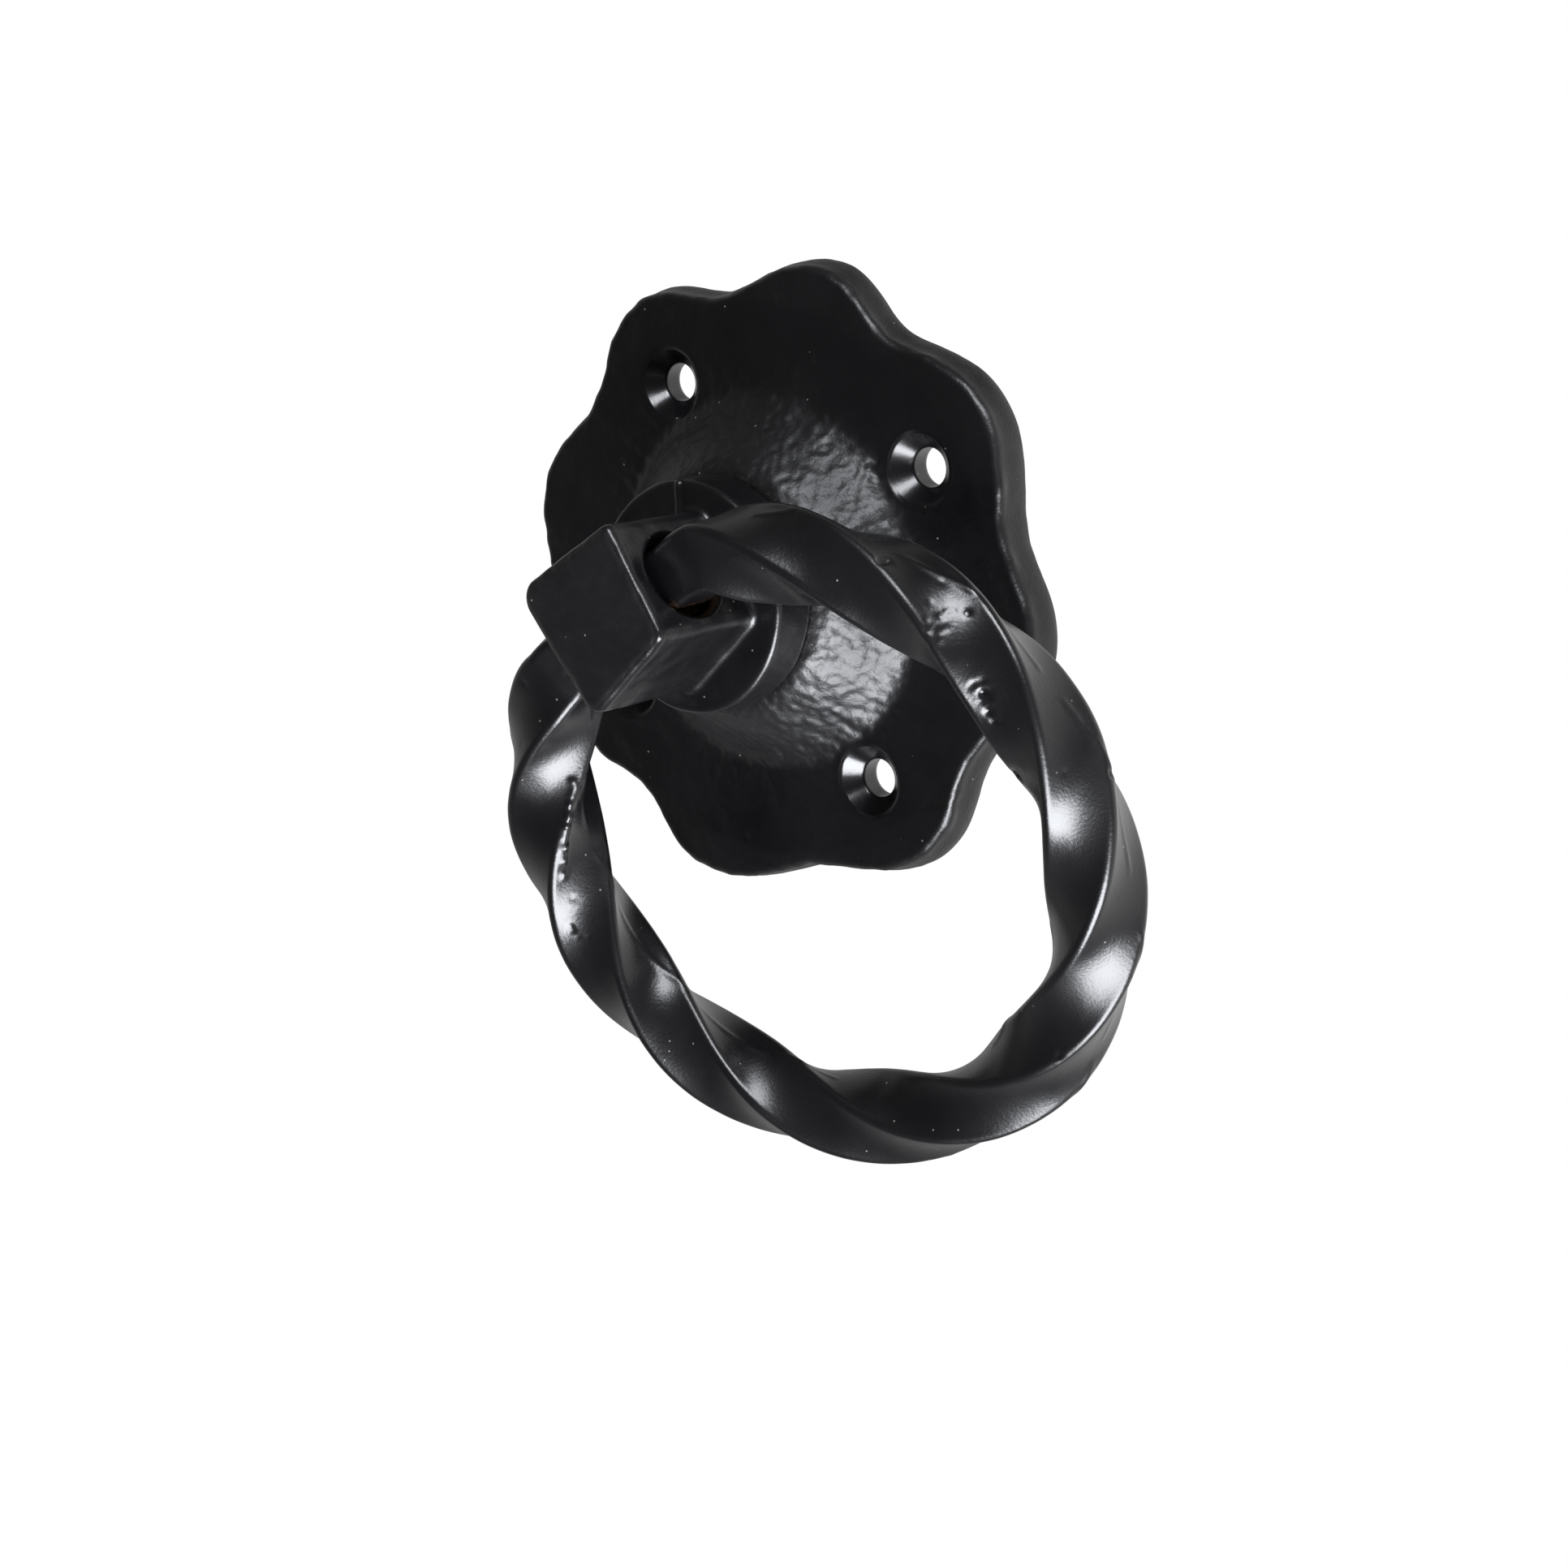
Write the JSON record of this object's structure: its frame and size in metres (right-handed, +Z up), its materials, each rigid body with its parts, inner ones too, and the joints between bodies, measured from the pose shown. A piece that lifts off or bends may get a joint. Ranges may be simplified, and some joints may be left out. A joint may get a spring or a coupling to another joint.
{
  "type": "door knocker",
  "caption": "Twisted ring that swings in the square head of a turning round-collared boss, on a lobed cast plate with countersunk screw holes, for knocking on or pulling a door.",
  "frame": {"origin": "centre of the circle through the screw holes, on the plate's back face", "axes": "+Z up as hung on the door, front towards -Y, +Y into the door, +X to the right seen from the front"},
  "size_m": [0.1014, 0.0452, 0.1377],
  "materials": {
    "plate_black": "satin black powder coat over a rough iron casting",
    "boss_black": "satin black powder coat over cast iron, worn to bare metal at the cross hole",
    "ring_black": "semi-gloss black powder coat over a twisted square bar",
    "zinc_washer": "zinc plated",
    "spring_steel": "plain spring steel",
    "zinc_nut": "zinc plated"
  },
  "bodies": {
    "plate": {"backplate": "plate_black"},
    "boss": {"boss": "boss_black", "plain_washer": "zinc_washer", "spring_washer": "spring_steel", "hex_nut": "zinc_nut"},
    "ring": {"ring": "ring_black"}
  },
  "joints": [
    {"name": "boss_turn", "type": "hinge", "parent": "plate", "child": "boss", "pos_m": [0, 0, 0], "axis": [0, -1, 0], "continuous": true},
    {"name": "ring_swing", "type": "hinge", "parent": "boss", "child": "ring", "pos_m": [0, -0.03485, 0], "axis": [-1, 0, 0], "range_deg": [-3, 214]}
  ]
}
